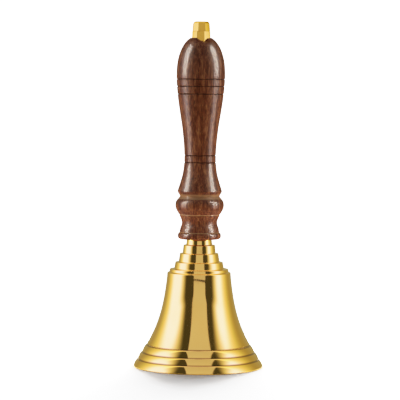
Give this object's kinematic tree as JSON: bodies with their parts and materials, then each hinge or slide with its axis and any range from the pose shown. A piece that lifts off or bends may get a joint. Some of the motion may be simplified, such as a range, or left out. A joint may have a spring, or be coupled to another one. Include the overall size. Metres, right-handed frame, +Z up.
{
  "type": "hand bell",
  "caption": "Hand bell: flared brass cup with a stepped crown, turned wooden handle on a through rod with an octagonal finial, and a ball clapper hung on wire loops inside.",
  "frame": {"origin": "centre of the mouth, in the plane of the rim that the bell stands on", "axes": "+Z up along the bell's axis from the mouth to the finial; -Y towards the viewer; the link's main swing moves the clapper along X"},
  "size_m": [0.0964, 0.0964, 0.254],
  "materials": {
    "cup_brass": "polished bright outside, as turned inside",
    "handle_wood": "glossy lacquer over turned dark red-brown hardwood",
    "rod_steel": "bright zinc plated thread and fasteners",
    "finial_brass": "polished facets, softened edges",
    "clapper_wire": "drawn wire, dull",
    "clapper_brass": "turned ball, lightly tarnished"
  },
  "bodies": {
    "bell": {"bell_cup": "cup_brass", "handle": "handle_wood", "tie_rod": "rod_steel", "crown_washer": "rod_steel", "crown_nut": "rod_steel", "finial_lock_nut": "finial_brass", "finial_cap_nut": "finial_brass"},
    "link": {"clapper_link": "clapper_wire"},
    "clapper": {"clapper_stem": "clapper_wire", "clapper_ball": "clapper_brass"}
  },
  "joints": [
    {"name": "link_swing", "type": "hinge", "parent": "bell", "child": "link", "pos_m": [0, 0, 0.0498], "axis": [0, 1, 0], "range_deg": [-36, 36]},
    {"name": "clapper_swing", "type": "hinge", "parent": "link", "child": "clapper", "pos_m": [0, 0, 0.0432], "axis": [1, 0, 0], "range_deg": [-15, 15]}
  ]
}
